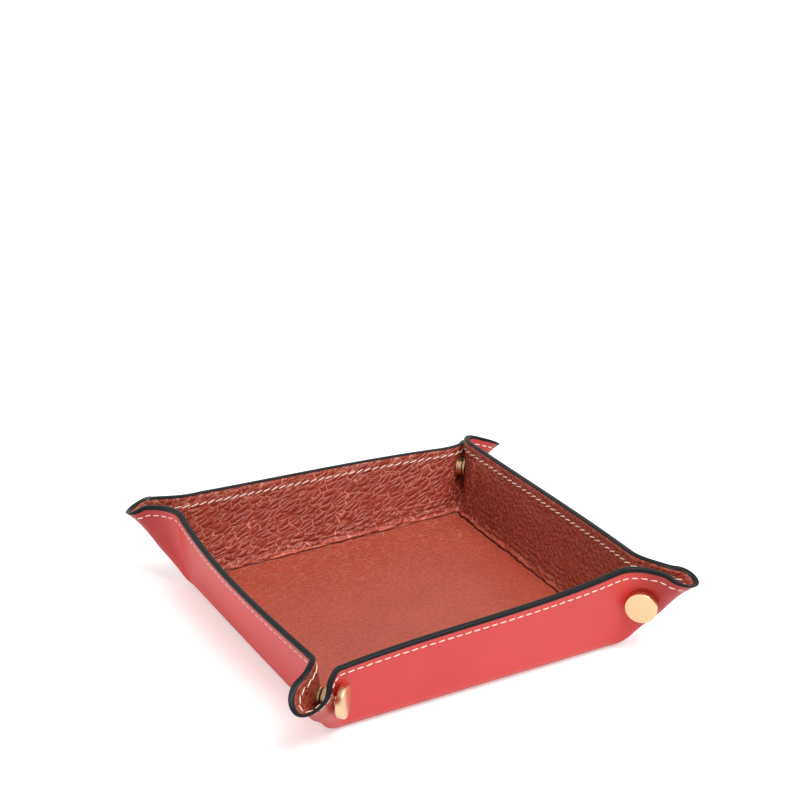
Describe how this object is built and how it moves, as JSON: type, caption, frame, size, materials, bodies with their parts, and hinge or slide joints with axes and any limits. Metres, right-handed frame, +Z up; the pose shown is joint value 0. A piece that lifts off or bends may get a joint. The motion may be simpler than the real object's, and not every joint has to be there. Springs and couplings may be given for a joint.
{
  "type": "valet tray",
  "caption": "Square leather valet tray with pinched corners held by press studs, for keys, coins and small things.",
  "frame": {"origin": "centre of the floor's underside, on the table", "axes": "+X along the front wall to the right, -Y out of the front wall, +Z up"},
  "size_m": [0.1732, 0.1732, 0.033],
  "materials": {
    "outer_leather": "smooth semi-gloss calf",
    "lining": "pebbled, semi-matt",
    "edge_paint": "flexible satin edge paint",
    "base_board": "pressed leather fibre board",
    "cap": "polished pale gold plate",
    "cap_post": "plain",
    "socket": "polished pale gold plate",
    "ring_spring": "drawn wire",
    "stud": "polished pale gold plate",
    "stud_post": "plain"
  },
  "bodies": {
    "tray": {"outer_leather": "outer_leather", "lining": "lining", "edge_paint": "edge_paint", "base_board": "base_board", "front_left_stud": "stud", "front_left_stud_post": "stud_post", "front_right_stud": "stud", "front_right_stud_post": "stud_post", "back_right_stud": "stud", "back_right_stud_post": "stud_post", "back_left_stud": "stud", "back_left_stud_post": "stud_post"},
    "front_left_button": {"front_left_cap": "cap", "front_left_cap_post": "cap_post", "front_left_socket": "socket", "front_left_ring_spring": "ring_spring"},
    "front_right_button": {"front_right_cap": "cap", "front_right_cap_post": "cap_post", "front_right_socket": "socket", "front_right_ring_spring": "ring_spring"},
    "back_right_button": {"back_right_cap": "cap", "back_right_cap_post": "cap_post", "back_right_socket": "socket", "back_right_ring_spring": "ring_spring"},
    "back_left_button": {"back_left_cap": "cap", "back_left_cap_post": "cap_post", "back_left_socket": "socket", "back_left_ring_spring": "ring_spring"}
  },
  "joints": [
    {"name": "front_left_swivel", "type": "hinge", "parent": "tray", "child": "front_left_button", "pos_m": [-0.06858, -0.06858, 0.0186], "axis": [0.7071, -0.7071, 0], "continuous": true},
    {"name": "front_right_swivel", "type": "hinge", "parent": "tray", "child": "front_right_button", "pos_m": [0.0696, -0.0696, 0.022], "axis": [-0.7071, -0.7071, 0], "continuous": true},
    {"name": "back_right_swivel", "type": "hinge", "parent": "tray", "child": "back_right_button", "pos_m": [0.06915, 0.06915, 0.0205], "axis": [-0.7071, 0.7071, 0], "continuous": true},
    {"name": "back_left_swivel", "type": "hinge", "parent": "tray", "child": "back_left_button", "pos_m": [-0.06915, 0.06915, 0.0205], "axis": [0.7071, 0.7071, 0], "continuous": true}
  ]
}
